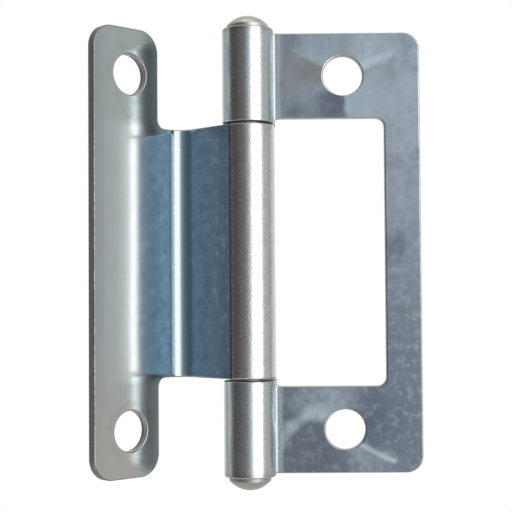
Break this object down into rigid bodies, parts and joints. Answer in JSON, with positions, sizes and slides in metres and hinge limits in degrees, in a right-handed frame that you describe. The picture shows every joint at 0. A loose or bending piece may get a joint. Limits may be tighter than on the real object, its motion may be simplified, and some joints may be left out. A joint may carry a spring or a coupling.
{
  "type": "cranked hinge",
  "caption": "Cranked flush hinge: a folded leaf with a right-angle crank swings on a domed pin gripped by a flat leaf with an open window.",
  "frame": {"origin": "midway between the frame leaf's two screw holes, on its back face", "axes": "+Z along the pin, +X from the pin across the frame leaf, +Y out of the frame leaf's back face"},
  "size_m": [0.0472, 0.0117, 0.068],
  "materials": {
    "leaf_zinc": "bright zinc plate on rolled steel sheet",
    "pin_zinc": "zinc plate on a turned steel pin"
  },
  "bodies": {
    "frame_side": {"frame_leaf": "leaf_zinc", "hinge_pin": "pin_zinc"},
    "crank_side": {"cranked_leaf": "leaf_zinc"}
  },
  "joints": [
    {"name": "leaf_swing", "type": "hinge", "parent": "frame_side", "child": "crank_side", "pos_m": [-0.0138, -0.0037, 0], "axis": [0, 0, 1], "range_deg": [-152, 167]}
  ]
}
